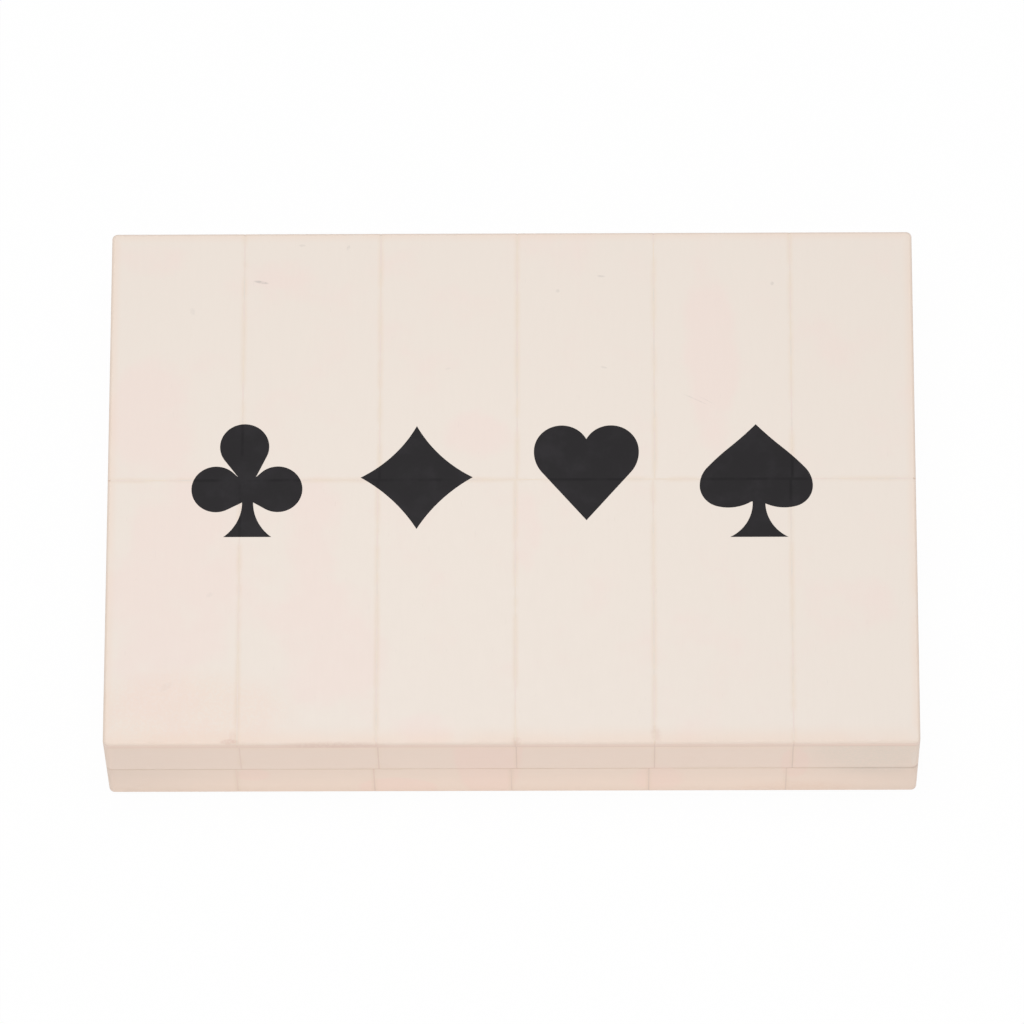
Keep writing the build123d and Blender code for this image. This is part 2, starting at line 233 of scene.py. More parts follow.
class Painter:
    """One material and the nodes that make it."""

    def __init__(self, name: str) -> None:
        """Starts a material with one Principled shader.

        Args:
            name: The material's name.
        """
        self.material = bpy.data.materials.new(name)
        self.material.use_nodes = True
        self.tree = self.material.node_tree
        self.tree.nodes.clear()
        self.shader = self.tree.nodes.new("ShaderNodeBsdfPrincipled")
        self.output = self.tree.nodes.new("ShaderNodeOutputMaterial")
        self.tree.links.new(self.shader.outputs["BSDF"], self.output.inputs["Surface"])

    def feed(self, socket: Socket, value: object) -> None:
        """Gives a socket its number, colour or link.

        Args:
            socket: The input to set.
            value: A number, a colour, a Signal or another node's output.
        """
        if isinstance(value, Signal):
            value = value.socket
        if isinstance(value, Socket):
            self.tree.links.new(value, socket)
        elif socket.type == "RGBA":
            socket.default_value = (*value, 1.0)
        else:
            socket.default_value = value

    def node(self, kind: str, settings: dict[str, object], inputs: dict[object, object]) -> bpy.types.Node:
        """Adds a node.

        Args:
            kind: The node's type.
            settings: Its own settings, which are set first. "stops" are a colour ramp's places and colours.
            inputs: What its sockets hold, by name or number.

        Returns:
            The node.
        """
        made = self.tree.nodes.new(kind)
        for name, value in settings.items():
            if name != "stops":
                setattr(made, name, value)
                continue
            stops = made.color_ramp.elements
            while len(stops) < len(value):
                stops.new(1.0)
            for stop, (place, colour) in zip(stops, value):
                stop.position = place
                stop.color = (*colour, 1.0)
        for key, value in inputs.items():
            self.feed(made.inputs[key], value)
        return made

    def maths(self, operation: str, *values: Number) -> Signal:
        """The result of a Math node on its numbers, in order."""
        return Signal(self, self.node("ShaderNodeMath", {"operation": operation}, dict(enumerate(values))).outputs[0])

    def split(self, vector: Socket) -> tuple[Signal, Signal, Signal]:
        """A vector's three numbers."""
        parts = self.node("ShaderNodeSeparateXYZ", {}, {"Vector": vector})
        return tuple(Signal(self, output) for output in parts.outputs)

    def scaled(self, vector: object, share: Number) -> Socket:
        """A vector, or a colour, times a number."""
        made = self.node("ShaderNodeVectorMath", {"operation": "SCALE"}, {"Vector": vector, "Scale": share})
        return made.outputs["Vector"]

    @cached_property
    def millimetres(self) -> Socket:
        """Object coordinates in millimetres."""
        return self.scaled(self.node("ShaderNodeTexCoord", {}, {}).outputs["Object"], 1 / MM)

    @cached_property
    def place(self) -> tuple[Signal, Signal, Signal]:
        """X, Y and Z on the object in millimetres."""
        return self.split(self.millimetres)

    def attribute(self, name: str) -> Socket:
        """A vector that the mesh carries under a name."""
        return self.node("ShaderNodeAttribute", {"attribute_name": name}, {}).outputs["Vector"]

    def shifted(self, shift: Socket) -> Socket:
        """Place on the object plus a vector, so that a pattern starts anew on each tile."""
        moved = self.node("ShaderNodeVectorMath", {"operation": "ADD"}, {0: self.millimetres, 1: shift})
        return moved.outputs["Vector"]

    def noise(
        self, size: float, grain: Grain = Grain.NONE, detail: float = 2.0, place: Socket | None = None
    ) -> Signal:
        """Soft random pattern.

        Args:
            size: Width of its patches across the grain.
            grain: The way that it is drawn out.
            detail: How many finer layers it has.
            place: Where it is read, if not the place on the object.

        Returns:
            A number about 0.5, from 0 to 1.
        """
        inputs = {0: place or self.millimetres, 1: grain.value}
        drawn = self.node("ShaderNodeVectorMath", {"operation": "MULTIPLY"}, inputs).outputs["Vector"]
        inputs = {"Vector": drawn, "Scale": 1 / size, "Detail": detail, "Roughness": 0.55}
        return Signal(self, self.node("ShaderNodeTexNoise", {"noise_dimensions": "3D"}, inputs).outputs["Fac"])

    def patches(self, kind: Patches, grain: Grain = Grain.NONE, place: Socket | None = None) -> Signal:
        """Patches of a kind, from 0 to 1, drawn out and read as noise is."""
        return self.noise(kind.size, grain, kind.detail, place).fade(kind.low, kind.high)

    def chance(self, seed: Socket) -> Signal:
        """One random number from 0 to 1 for each value of a vector."""
        made = self.node("ShaderNodeTexWhiteNoise", {"noise_dimensions": "3D"}, {"Vector": seed})
        return Signal(self, made.outputs["Value"])

    def mix(self, first: object, second: object, share: Number) -> Socket:
        """Blends two colours or their sockets: the first where share is 0, the second where it is 1."""
        inputs = {0: share, 6: first, 7: second}
        return self.node("ShaderNodeMix", {"data_type": "RGBA", "clamp_factor": True}, inputs).outputs[2]

    def relief(self, height: Signal, kind: Relief) -> Socket:
        """The normal of a bump, where a height of 1 is the whole depth."""
        inputs = {"Strength": kind.strength, "Distance": kind.depth * MM, "Height": height}
        return self.node("ShaderNodeBump", {}, inputs).outputs["Normal"]

    def finish(self, **sockets: object) -> Material:
        """Feeds the shader's sockets and hands over the material.

        Args:
            sockets: Values by socket name, in lower case and with underscores for spaces.

        Returns:
            The material.
        """
        by_name = {socket.name.lower().replace(" ", "_"): socket for socket in self.shader.inputs}
        for name, value in sockets.items():
            self.feed(by_name[name], value)
        return self.material


def middle(first: Signal, second: Signal, third: Signal) -> Signal:
    """The one of three numbers that is neither lowest nor highest."""
    return first.lower(second).higher(first.higher(second).lower(third))


@dataclass(frozen=True)
class Mark:
    """A patch or blemish, placed across a face and up it from the frame's origin, and turned in degrees."""

    plane: Plane
    across: float
    up: float
    length: float
    width: float
    turn: float
    strength: float

    def mask(self, paint: Painter) -> Signal:
        """Where the mark shows.

        Args:
            paint: The material that it is in.

        Returns:
            Its strength at its middle, fading to 0.
        """
        x, y, z = paint.place
        height = y if self.plane is Plane.TOP else z
        cosine, sine = math.cos(math.radians(self.turn)), math.sin(math.radians(self.turn))
        ahead = ((x - self.across) * cosine + (height - self.up) * sine) * (2 / self.length)
        aside = ((height - self.up) * cosine - (x - self.across) * sine) * (2 / self.width)
        spot = (ahead * ahead + aside * aside).fade(*MARK_EDGE) * self.strength
        return spot if self.plane is Plane.TOP else spot * y.fade(*FRONT_ONLY)


Marks = dict[MarkKind, tuple[Mark, ...]]


def marks(plane: Plane, rows: dict[MarkKind, tuple[tuple[float, ...], ...]]) -> Marks:
    """Marks on one face, from rows of across, up, length, width, turn and strength for each kind."""
    return {kind: tuple(Mark(plane, *row) for row in group) for kind, group in rows.items()}


TOP_MARKS = marks(Plane.TOP, {
    MarkKind.BLUSH: (
        (-85.0, 18.0, 26.0, 34.0, 0, 1.0), (-80.0, -30.0, 40.0, 84.0, 0, 1.0), (-43.0, -38.0, 34.0, 44.0, 0, 1.0),
        (-46.0, -12.0, 18.0, 34.0, 0, 0.8), (47.0, 34.0, 16.0, 60.0, 4, 0.9), (79.0, -31.0, 28.0, 22.0, 0, 0.9),
        (-8.0, 13.0, 24.0, 16.0, -10, 0.8), (3.5, -12.0, 9.0, 26.0, 0, 0.8), (-84.0, 58.0, 24.0, 12.0, 0, 0.7),
        (-55.0, 55.0, 24.0, 10.0, 0, 0.6), (-19.0, -61.0, 24.0, 10.0, 0, 0.7),
    ),
    MarkKind.PORE: (
        (-59.4, 52.3, 4.2, 0.9, -10, 1.3), (-49.8, 61.8, 2.0, 0.8, 0, 0.5), (-38.8, 61.2, 1.8, 0.9, 70, 0.7),
        (-75.6, 44.8, 1.6, 2.4, 20, 0.35), (21.2, 53.6, 2.4, 0.7, -5, 0.7), (10.9, 49.8, 1.2, 1.2, 0, 0.6),
        (-15.0, 29.9, 1.8, 0.6, 10, 0.3), (21.8, 30.1, 2.0, 0.7, -15, 0.5), (61.7, 51.6, 1.2, 1.2, 0, 0.7),
        (-70.6, -27.5, 2.0, 1.4, 30, 0.3), (-80.5, -50.5, 4.5, 2.0, 35, 0.25), (43.2, 21.9, 8.4, 0.35, -26, 0.55),
        (46.0, 21.6, 5.2, 0.25, -30, 0.35),
    ),
    MarkKind.STAIN: (
        (-65.6, -64.2, 5.0, 1.6, 4, 0.8), (-64.8, -63.0, 2.4, 3.4, 0, 0.32), (-41.0, -65.2, 28.0, 2.4, 0, 0.45),
        (1.2, -64.2, 3.0, 2.4, 0, 0.35), (33.6, -62.6, 3.0, 5.5, 15, 0.35),
    ),
    MarkKind.WARM: ((-76.0, -57.0, 60.0, 26.0, 0, 0.7),),
})
FRONT_MARKS = marks(Plane.FRONT, {
    MarkKind.BLUSH: (
        (-5.6, 26.0, 18.0, 70.0, 0, 2.4), (-2.0, 29.0, 10.0, 16.0, 0, 3.0), (-61.0, 13.0, 10.0, 10.0, 0, 1.2),
        (-27.0, 4.0, 22.0, 16.0, 0, 2.0), (34.0, 10.0, 16.0, 22.0, 0, 1.0), (66.0, 20.0, 8.0, 24.0, 0, 1.2),
    ),
    MarkKind.STAIN: ((94.4, 17.1, 1.8, 1.2, 0, 0.9),),
    MarkKind.CHALK: ((93.8, 23.0, 1.6, 12.0, 0, 0.8),),
    MarkKind.GREY: ((84.0, 30.0, 36.0, 40.0, 0, 2.2),),
    MarkKind.WARM: ((67.0, 3.0, 34.0, 12.0, 0, 1.4),),
})
MARK_BREAKS = Patches(0.8, 0.3, 0.6)


def summed(paint: Painter, group: tuple[Mark, ...]) -> Signal:
    """The masks of a group of marks, added up."""
    first, *others = (mark.mask(paint) for mark in group)
    return sum(others, first)


def marked(paint: Painter, colour: Socket, group: tuple[Mark, ...], kind: MarkKind) -> Socket:
    """Lays marks of one kind over a colour."""
    uneven = paint.patches(MARK_BREAKS) * 0.6 + 0.4
    return paint.mix(colour, kind.value, summed(paint, group) * uneven * MARK_DEPTH)


@dataclass(frozen=True)
class BoneFinish:
    """Satin-polished bone, cream in the middle of a tile and warmer towards its edges."""

    name: str
    cream: Colour
    grain: Grain
    half: Half
    marks: Marks
    side: Colour | None = None
    worn: Colour = (0.76, 0.66, 0.60)
    resin: Colour = (0.84, 0.68, 0.54)
    warm_width: float = 2.8
    warm_share: float = 0.36
    front_width: float = 5.5
    front_share: float = 0.44
    worn_width: float = 0.9
    worn_share: float = 0.3
    halo_width: float = 1.0
    halo_share: float = 0.34
    # Painted shade on the base's face below the seam: how far down it reaches, and how deep it is.
    reach_below_seam: float = 14.0
    shade_below_seam: float = 0.07
    raggedness: float = 3.0
    # Darker towards the ends of a face, and painted shade that darkens the top towards its front edge.
    end_drop: float = 0.0
    front_edge_shade: float = 0.0
    # Painted shade in the seam, and how much deeper it grows towards the right end.
    seam_drop: float = 0.006
    rightward_seam_shade: float = 0.08
    pore_share: float = 0.08
    fibre_share: float = 0.02
    tile_share: float = 0.008
    roughness: float = 0.36
    relief: Relief = Relief(0.03, 0.3)
    pores: Patches = Patches(0.45, 0.74, 0.82, 1.0)
    halo_breaks: Patches = Patches(7.0, 0.25, 0.6)
    worn_breaks: Patches = Patches(4.0, 0.1, 0.5)
    warm_breaks: Patches = Patches(11.0, 0.1, 0.5, 1.0)

    def material(self) -> Material:
        """Makes the material.

        Returns:
            The material, which reads the tile's own corners from its mesh.
        """
        paint = Painter(self.name)
        seed = paint.attribute("tile_low")
        own = paint.shifted(seed)
        fibre = paint.noise(0.9, self.grain, detail=3.0, place=own)
        pores = paint.patches(self.pores, self.grain, own)
        halo = self._near_joint(paint).fade(self.halo_width, 0.0) * paint.patches(self.halo_breaks)
        all_round, lengthwise, front, ends = self._near_arris(paint)
        warm_front = front.fade(self.front_width, 0.2) * self.front_share
        warmth = (all_round.fade(self.warm_width, 0.2) * self.warm_share).higher(warm_front)
        worn = lengthwise.fade(self.worn_width, 0.1) * paint.patches(self.worn_breaks)
        colour = self._blushed(paint)
        colour = paint.mix(colour, MarkKind.WARM.value, warmth * paint.patches(self.warm_breaks))
        colour = paint.mix(colour, self.resin, halo * self.halo_share)
        colour = paint.mix(colour, self.worn, worn * self.worn_share)
        x, y, z = paint.place
        if self.side:
            colour = paint.mix(colour, self.side, z.fade(TOP - 0.1, TOP - 0.7) * (1.0 - ends.fade(1.2, 0.4) * 0.4))
        for kind in MarkKind:
            if kind is not MarkKind.BLUSH and kind in self.marks:
                colour = marked(paint, colour, self.marks[kind], kind)
        colour = paint.mix(colour, MarkKind.PORE.value, pores * self.pore_share)
        # Darker towards the ends, and painted shade that darkens the top towards its front edge.
        end_darkening_and_shade_at_front = abs(x).fade(60.0, 95.0) * self.end_drop + y.fade(-5.0, -60.0) * self.front_edge_shade
        own_level = (fibre - 0.5) * self.fibre_share + (paint.chance(seed) - 0.5) * self.tile_share + 1.0
        level = own_level - self._seam_shade(paint) - end_darkening_and_shade_at_front
        rough = paint.noise(3.5) * 0.12 + self.roughness + halo * 0.1 + pores * 0.1
        height = paint.noise(0.35, self.grain) * 0.5 + paint.noise(9.0) - pores * 0.6
        normal = paint.relief(height, self.relief)
        return paint.finish(base_color=paint.scaled(colour, level), roughness=rough, normal=normal, ior=SATIN_IOR)

    def _blushed(self, paint: Painter) -> Socket:
        """The bone's own colour, with its pinkish patches.

        Args:
            paint: The material.

        Returns:
            The colour's socket.
        """
        pink = tuple(level * share for level, share in zip(self.cream, MarkKind.BLUSH.value))
        ragged = (paint.noise(14.0, detail=4.0) - 0.5) * self.raggedness
        share = (summed(paint, self.marks[MarkKind.BLUSH]) + ragged).fade(0.0, 1.0)
        return paint.mix(self.cream, pink, share)

    def _near_joint(self, paint: Painter) -> Signal:
        """Distance along the surface to the tile's nearest edge."""
        lows, highs = (paint.split(paint.attribute(name)) for name in ("tile_low", "tile_high"))
        return middle(*((at - low).lower(high - at) for at, low, high in zip(paint.place, lows, highs)))

    def _near_arris(self, paint: Painter) -> tuple[Signal, Signal, Signal, Signal]:
        """Distances to the outer edges of the closed box.

        Args:
            paint: The material.

        Returns:
            The distances to the nearest edge, the nearer long one, the front one and the nearer end.
        """
        low, high = (corner / MM for corner in CAD_BOX)
        x, y, z = paint.place
        level = high.z - z if self.half is Half.LID else z - low.z
        ends, sides = high.x - abs(x), -low.y - abs(y)
        return middle(ends, sides, level), sides.higher(level), (y - low.y).higher(level), ends

    def _seam_shade(self, paint: Painter) -> Signal:
        """Painted shade near the seam, deeper towards the right end, and below the seam on the base's face.

        Args:
            paint: The material.

        Returns:
            The share of light lost.
        """
        seam = Half.LID.skin[0].z / MM
        x, _, z = paint.place
        # Painted shade within the seam, deeper towards the right, and on the base's face below the seam, fading out
        # downwards.
        near = abs(z - seam).fade(1.2, 0.1) * (x.fade(50.0, 95.0) * self.rightward_seam_shade + self.seam_drop)
        return near + (seam - z).fade(self.reach_below_seam, 0.0) * (seam - z).fade(-0.3, 0.3) * self.shade_below_seam


@dataclass(frozen=True)
class JointFinish:
    """Tan resin between the tiles, darker on the upright faces."""

    name: str
    side: Colour
    tan: Colour = (0.86, 0.745, 0.632)
    pink: Colour = (0.855, 0.725, 0.662)
    grey: Colour = (0.81, 0.73, 0.655)
    side_drop: float = 0.07
    roughness: float = 0.42
    relief: Relief = Relief(0.02, 0.3)
    pinker: Patches = Patches(8.0, 0.42, 0.6)
    greyer: Patches = Patches(5.0, 0.5, 0.68, 3.0)

    def material(self) -> Material:
        """Makes the material.

        Returns:
            The material.
        """
        paint = Painter(self.name)
        x, _, z = paint.place
        colour = paint.mix(self.tan, self.pink, paint.patches(self.pinker))
        colour = paint.mix(colour, self.grey, paint.patches(self.greyer))
        side = paint.scaled(self.side, 1.0 - x.fade(-60.0, 60.0) * self.side_drop)
        colour = paint.mix(side, colour, z.fade(TOP - 0.9, TOP - 0.2))
        colour = marked(paint, colour, TOP_MARKS[MarkKind.STAIN], MarkKind.STAIN)
        rough = paint.noise(1.5) * 0.15 + self.roughness
        normal = paint.relief(paint.noise(0.3), self.relief)
        return paint.finish(base_color=colour, roughness=rough, normal=normal, ior=SATIN_IOR)


@dataclass(frozen=True)
class SuitFinish:
    """Charcoal resin of the suits, through which the tile joints show faintly."""

    back_joints: tuple[float, ...]
    front_joints: tuple[float, ...]
    row_joint: float
    name: str = "suit_resin"
    black: Colour = (0.0163, 0.0145, 0.0162)
    worn: Colour = (0.0232, 0.0208, 0.0236)
    line: Colour = (0.0108, 0.0094, 0.0108)
    line_width: float = 0.55
    line_share: float = 0.75
    roughness: float = 0.4
    relief: Relief = Relief(0.02, 0.4)
    worn_patches: Patches = Patches(5.0, 0.42, 0.75, 4.0)
    line_breaks: Patches = Patches(6.0, 0.35, 0.6)

    def material(self) -> Material:
        """Makes the material.

        Returns:
            The material.
        """
        paint = Painter(self.name)
        _, y, _ = paint.place
        behind = y.fade(self.row_joint - 0.1, self.row_joint + 0.1)
        back = self._lines(paint, self.back_joints) * behind
        front = self._lines(paint, self.front_joints) * (1.0 - behind)
        row = abs(y - self.row_joint).fade(self.line_width, 0.1)
        lines = back.higher(front).higher(row) * paint.patches(self.line_breaks)
        colour = paint.mix(self.black, self.worn, paint.patches(self.worn_patches))
        colour = paint.mix(colour, self.line, lines * self.line_share)
        rough = paint.noise(2.5, detail=3.0) * 0.14 + self.roughness + lines * 0.06
        normal = paint.relief(paint.noise(0.5, detail=3.0) - lines * 0.8, self.relief)
        return paint.finish(base_color=colour, roughness=rough, normal=normal, specular_ior_level=0.14)

    def _lines(self, paint: Painter, joints: tuple[float, ...]) -> Signal:
        """Soft lines over one row's upright joints.

        Args:
            paint: The material.
            joints: The joints' X.

        Returns:
            1 on a line and 0 away from it.
        """
        nearest, *others = (abs(paint.place[0] - joint) for joint in joints)
        for other in others:
            nearest = nearest.lower(other)
        return nearest.fade(self.line_width, 0.1)


@dataclass(frozen=True)
class WoodFinish:
    """Stained and waxed hardwood, with its grain along one way."""

    name: str
    grain: Grain
    dark: Colour = (0.105, 0.045, 0.02)
    mid: Colour = (0.2, 0.092, 0.042)
    light: Colour = (0.31, 0.155, 0.074)
    pore_share: float = 0.7
    roughness: float = 0.34
    relief: Relief = Relief(0.05, 0.5)
    pores: Patches = Patches(0.3, 0.62, 0.72)

    def material(self) -> Material:
        """Makes the material.

        Returns:
            The material.
        """
        paint = Painter(self.name)
        band = paint.noise(4.5, self.grain, detail=3.0)
        fibre = paint.noise(0.7, self.grain, detail=4.0)
        pore = paint.patches(self.pores, self.grain)
        stops = [(0.3, self.dark), (0.5, self.mid), (0.7, self.light)]
        ramp = paint.node("ShaderNodeValToRGB", {"stops": stops}, {"Fac": band * 0.65 + fibre * 0.35})
        colour = paint.mix(ramp.outputs["Color"], self.dark, pore * self.pore_share)
        rough = fibre * 0.16 + self.roughness + pore * 0.15
        normal = paint.relief(fibre * 0.6 - pore, self.relief)
        return paint.finish(base_color=colour, roughness=rough, normal=normal, coat_weight=0.15, coat_roughness=0.3)


@dataclass(frozen=True)
class FeltFinish:
    """Short black felt."""

    name: str = "black_felt"
    black: Colour = (0.011, 0.011, 0.012)
    lint: Colour = (0.05, 0.05, 0.053)
    lint_share: float = 0.7
    roughness: float = 0.9
    relief: Relief = Relief(0.22, 0.8)

    def material(self) -> Material:
        """Makes the material.

        Returns:
            The material.
        """
        paint = Painter(self.name)
        fibre = paint.noise(0.28, detail=4.0)
        matted = paint.noise(2.4, detail=3.0)
        colour = paint.mix(self.black, self.lint, fibre.fade(0.48, 0.75) * self.lint_share)
        return paint.finish(
            base_color=paint.scaled(colour, matted * 0.7 + 0.65), roughness=fibre * 0.08 + self.roughness,
            normal=paint.relief(fibre * 0.7 + matted * 0.5, self.relief), sheen_weight=0.35, sheen_roughness=0.45,
            sheen_tint=(0.8, 0.8, 0.85), specular_ior_level=0.2,
        )


@dataclass(frozen=True)
class BrassFinish:
    """Satin brass, a little darker where it has tarnished."""

    name: str = "satin_brass"
    bright: Colour = (0.79, 0.56, 0.26)
    tarnish: Colour = (0.42, 0.27, 0.11)
    tarnish_share: float = 0.55
    roughness: float = 0.16
    relief: Relief = Relief(0.012, 0.35)

    def material(self) -> Material:
        """Makes the material.

        Returns:
            The material.
        """
        paint = Painter(self.name)
        cloud = paint.noise(3.0, detail=4.0)
        brushed = paint.noise(0.16, Grain.ALONG_X)
        colour = paint.mix(self.bright, self.tarnish, cloud.fade(0.5, 0.8) * self.tarnish_share)
        rough = cloud * 0.2 + brushed * 0.12 + self.roughness
        return paint.finish(base_color=colour, roughness=rough, normal=paint.relief(brushed, self.relief), metallic=1.0)


class Workpiece:
    """A mesh on the bench, shaped by operators on the edges and faces that a test picks."""

    def __init__(self, thing: bpy.types.Object) -> None:
        """Takes a mesh object onto the bench."""
        self.thing = thing

    @classmethod
    def block(cls, name: str, low: Vector, high: Vector) -> "Workpiece":
        """A block of a name between its lowest and highest corner."""
        size = {"size": 1.0, "scale": high - low}
        return cls._added(name, bpy.ops.mesh.primitive_cube_add, location=(low + high) / 2, **size)

    @classmethod
    def _added(cls, name: str, primitive: Callable[..., object], **sizes: object) -> "Workpiece":
        """Adds a primitive and puts its place into its mesh.

        Args:
            name: The object's name.
            primitive: The operator that adds it.
            sizes: Its size and place.

        Returns:
            The piece.
        """
        bpy.ops.object.select_all(action="DESELECT")
        primitive(**sizes)
        bpy.ops.object.transform_apply(location=True, rotation=True, scale=True)
        return cls._newest(name)

    @classmethod
    def _newest(cls, name: str) -> "Workpiece":
        """Names the newest object and its mesh.

        Args:
            name: Their name.

        Returns:
            The piece.
        """
        thing = bpy.context.active_object
        thing.name = name
        thing.data.name = name
        return cls(thing)

    @classmethod
    def rod(cls, name: str, centre: Vector, radius: float, length: float, sides: int) -> "Workpiece":
        """An upright round bar about its centre."""
        size = {"vertices": sides, "radius": radius, "depth": length}
        return cls._added(name, bpy.ops.mesh.primitive_cylinder_add, location=centre, **size)

    @classmethod
    def copy_of(cls, name: str, node: str) -> "Workpiece":
        """A merged copy of a CAD node.

        Args:
            name: The copy's name.
            node: The node's name.

        Returns:
            The copy, with flat faces whole again.
        """
        thing = bpy.data.objects.new(name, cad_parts[node].data.copy())
        thing.data.materials.clear()
        bpy.context.scene.collection.objects.link(thing)
        made = cls(thing)
        made.select_alone()
        bpy.ops.mesh.customdata_custom_splitnormals_clear()
        with made.editing(whole=True):
            bpy.ops.mesh.remove_doubles(threshold=TOUCH)
            bpy.ops.mesh.dissolve_limited(angle_limit=math.radians(0.5))
        return made

    def copied(self, name: str) -> "Workpiece":
        """Makes a copy with its own mesh.

        Args:
            name: The copy's name.

        Returns:
            The copy.
        """
        self.select_alone()
        bpy.ops.object.duplicate(linked=False)
        return self._newest(name)

    def select_alone(self) -> None:
        """Selects this piece and nothing else."""
        bpy.ops.object.select_all(action="DESELECT")
        self.thing.select_set(True)
        bpy.context.view_layer.objects.active = self.thing

    @contextmanager
    def editing(self, whole: bool = False) -> Iterator[Mesh]:
        """Edit mode on this piece.

        Args:
            whole: Whether all of it is selected at first, and not nothing.

        Yields:
            The mesh under edit.
        """
        self.select_alone()
        bpy.ops.object.mode_set(mode="EDIT")
        bpy.ops.mesh.select_all(action="SELECT" if whole else "DESELECT")
        yield bmesh.from_edit_mesh(self.thing.data)
        bpy.ops.object.mode_set(mode="OBJECT")

    def pick(self, mesh: Mesh, part: Part, test: Callable[..., bool]) -> bool:
        """Selects faces, or edges between two faces.

        Args:
            mesh: The mesh under edit.
            part: Which of the two.
            test: Says of each one whether it is wanted.

        Returns:
            Whether any was picked.
        """
        parts = mesh.faces if part is Part.FACE else [edge for edge in mesh.edges if len(edge.link_faces) == 2]
        picked = [one for one in parts if test(one)]
        bpy.ops.mesh.select_mode(type=part.value)
        for one in picked:
            one.select_set(True)
        mesh.select_flush_mode()
        bmesh.update_edit_mesh(self.thing.data)
        return bool(picked)

    def round_edges(self, test: Callable[[Edge], bool], radius: float, segments: int) -> None:
        """Rounds the edges that a test picks.

        Args:
            test: Says which edges between two faces are rounded.
            radius: The rounding's radius.
            segments: Its facets.
        """
        with self.editing() as mesh:
            if self.pick(mesh, Part.EDGE, test):
                bpy.ops.mesh.bevel(offset=radius, segments=segments, affect="EDGES", clamp_overlap=False)

    def carve(self, cutter: "Workpiece", keep: Keep = Keep.OUTSIDE) -> None:
        """Cuts this piece to another's shape, and uses the other up.

        Args:
            cutter: The piece that is used up.
            keep: Whether what lies outside the cutter is kept, or what lies inside.
        """
        self.select_alone()
        self._modify("BOOLEAN", operation=keep.value, solver="EXACT", object=cutter.thing)
        bpy.data.objects.remove(cutter.thing, do_unlink=True)

    def _modify(self, kind: str, **settings: object) -> None:
        """Puts a modifier on the piece and applies it.

        Args:
            kind: The modifier's type.
            settings: Its settings.
        """
        modifier = self.thing.modifiers.new(kind, kind)
        for name, value in settings.items():
            setattr(modifier, name, value)
        bpy.ops.object.modifier_apply(modifier=modifier.name)

    def join(self, others: list["Workpiece"]) -> None:
        """Joins other pieces into this one.

        Args:
            others: The pieces that are used up.
        """
        self.select_alone()
        for other in others:
            other.thing.select_set(True)
        if others:
            bpy.ops.object.join()

    def corners(self) -> Corners:
        """Lowest and highest corner of the mesh."""
        axes = list(zip(*(vertex.co for vertex in self.thing.data.vertices)))
        return Vector(map(min, axes)), Vector(map(max, axes))

    def mark_tile(self, *corners: Vector) -> None:
        """Stores a tile's corners on its mesh, in millimetres, for its finish to read.

        Args:
            corners: The lowest and the highest.
        """
        for name, corner in zip(("tile_low", "tile_high"), corners):
            layer = self.thing.data.attributes.new(name, "FLOAT_VECTOR", "POINT")
            layer.data.foreach_set("vector", list(corner / MM) * len(self.thing.data.vertices))

    def smooth(self, angle: float = 30.0) -> None:
        """Shades smooth, except over sharp edges.

        Args:
            angle: The least angle of a sharp edge, in degrees.
        """
        self.select_alone()
        bpy.ops.object.shade_smooth_by_angle(angle=math.radians(angle))
        self._modify("WEIGHTED_NORMAL", keep_sharp=True)

    def hand_over(self, half: Half, node: str, slot: str, finish: Material) -> bpy.types.Object:
        """Dresses the piece and lets it ride in place of its CAD node.

        Args:
            half: The body that it moves with.
            node: The CAD node that it stands for.
            slot: The record's material slot, which is not used.
            finish: The material.

        Returns:
            The object.
        """
        self.thing.data.materials.clear()
        self.thing.data.materials.append(finish)
        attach(self.thing, half.value)
        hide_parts(node)
        log.info("%s: %d faces", self.thing.name, len(self.thing.data.polygons))
        return self.thing


def islands(node: str) -> list[Corners]:
    """Corners of each separate solid in a CAD node.

    Args:
        node: The node's name.

    Returns:
        The corners, from low X and Y to high.
    """
    with Workpiece.copy_of("islands", node).editing(whole=True):
        bpy.ops.mesh.separate(type="LOOSE")
    loose = list(bpy.context.selected_objects)
    found = [Workpiece(thing).corners() for thing in loose]
    for thing in loose:
        bpy.data.objects.remove(thing, do_unlink=True)
    return sorted(found, key=lambda corners: (round(corners[0].x, 5), round(corners[0].y, 5)))


def overlap(first: Corners, second: Corners) -> bool:
    """Says whether two boxes share space."""
    return all(first[0][axis] < second[1][axis] and second[0][axis] < first[1][axis] for axis in range(3))


def at_level(edge: Edge, level: float) -> bool:
    """Says whether an edge lies flat at a height."""
    return all(abs(vertex.co.z - level) < TOUCH for vertex in edge.verts)


def dress(nodes: list[str], finish: Material) -> None:
    """Gives CAD nodes their finish.

    Args:
        nodes: The nodes' names.
        finish: The material.
    """
    for node in nodes:
        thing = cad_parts[node]
        thing.data.materials.clear()
        thing.data.materials.append(finish)
        log.info("%s dressed in %s", node, finish.name)


